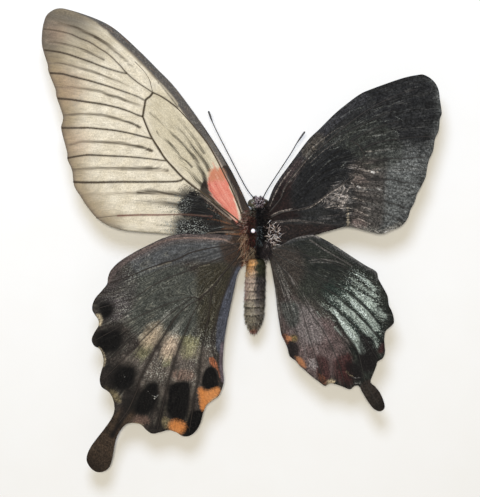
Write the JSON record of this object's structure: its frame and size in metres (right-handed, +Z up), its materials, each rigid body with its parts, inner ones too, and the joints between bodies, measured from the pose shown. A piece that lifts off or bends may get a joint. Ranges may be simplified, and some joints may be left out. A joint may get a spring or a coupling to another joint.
{
  "type": "pinned butterfly specimen on a mount board",
  "caption": "Set swallowtail butterfly with a pale long tailed left half and a black right half, on an insect pin stuck in a plain white foam board.",
  "frame": {"origin": "middle of the mount board's underside", "axes": "+Y from the tail to the head along the board's longer side, +X to the right seen from above, +Z up along the pin"},
  "size_m": [0.14, 0.146, 0.0396],
  "materials": {
    "foam": "matt white foam",
    "pin_steel": "drawn steel wire",
    "pin_nylon": "moulded white nylon",
    "body_fur": "dense hair-like scales",
    "abdomen_cuticle": "ringed, half beige and half black",
    "eye_lens": "faceted, glossy",
    "black_cuticle": "satin",
    "pale_scales": "powdery scales, dark veins",
    "black_scales": "powdery charcoal scales",
    "brown_scales": "powdery brown scales with black and orange spots",
    "green_black_scales": "powdery black scales with pale blue-green rays"
  },
  "bodies": {
    "root": {"mount_board": "foam", "pin_shaft": "pin_steel", "pin_head": "pin_nylon", "thorax": "body_fur", "head": "body_fur", "abdomen": "abdomen_cuticle", "eye_left": "eye_lens", "eye_right": "eye_lens", "proboscis": "black_cuticle", "antenna_left": "black_cuticle", "antenna_right": "black_cuticle", "leg_fore_left": "black_cuticle", "leg_fore_right": "black_cuticle", "leg_mid_left": "black_cuticle", "leg_mid_right": "black_cuticle", "leg_hind_left": "black_cuticle", "leg_hind_right": "black_cuticle", "forewing_left": "pale_scales", "forewing_right": "black_scales", "hindwing_left": "brown_scales", "hindwing_right": "green_black_scales"}
  },
  "joints": []
}
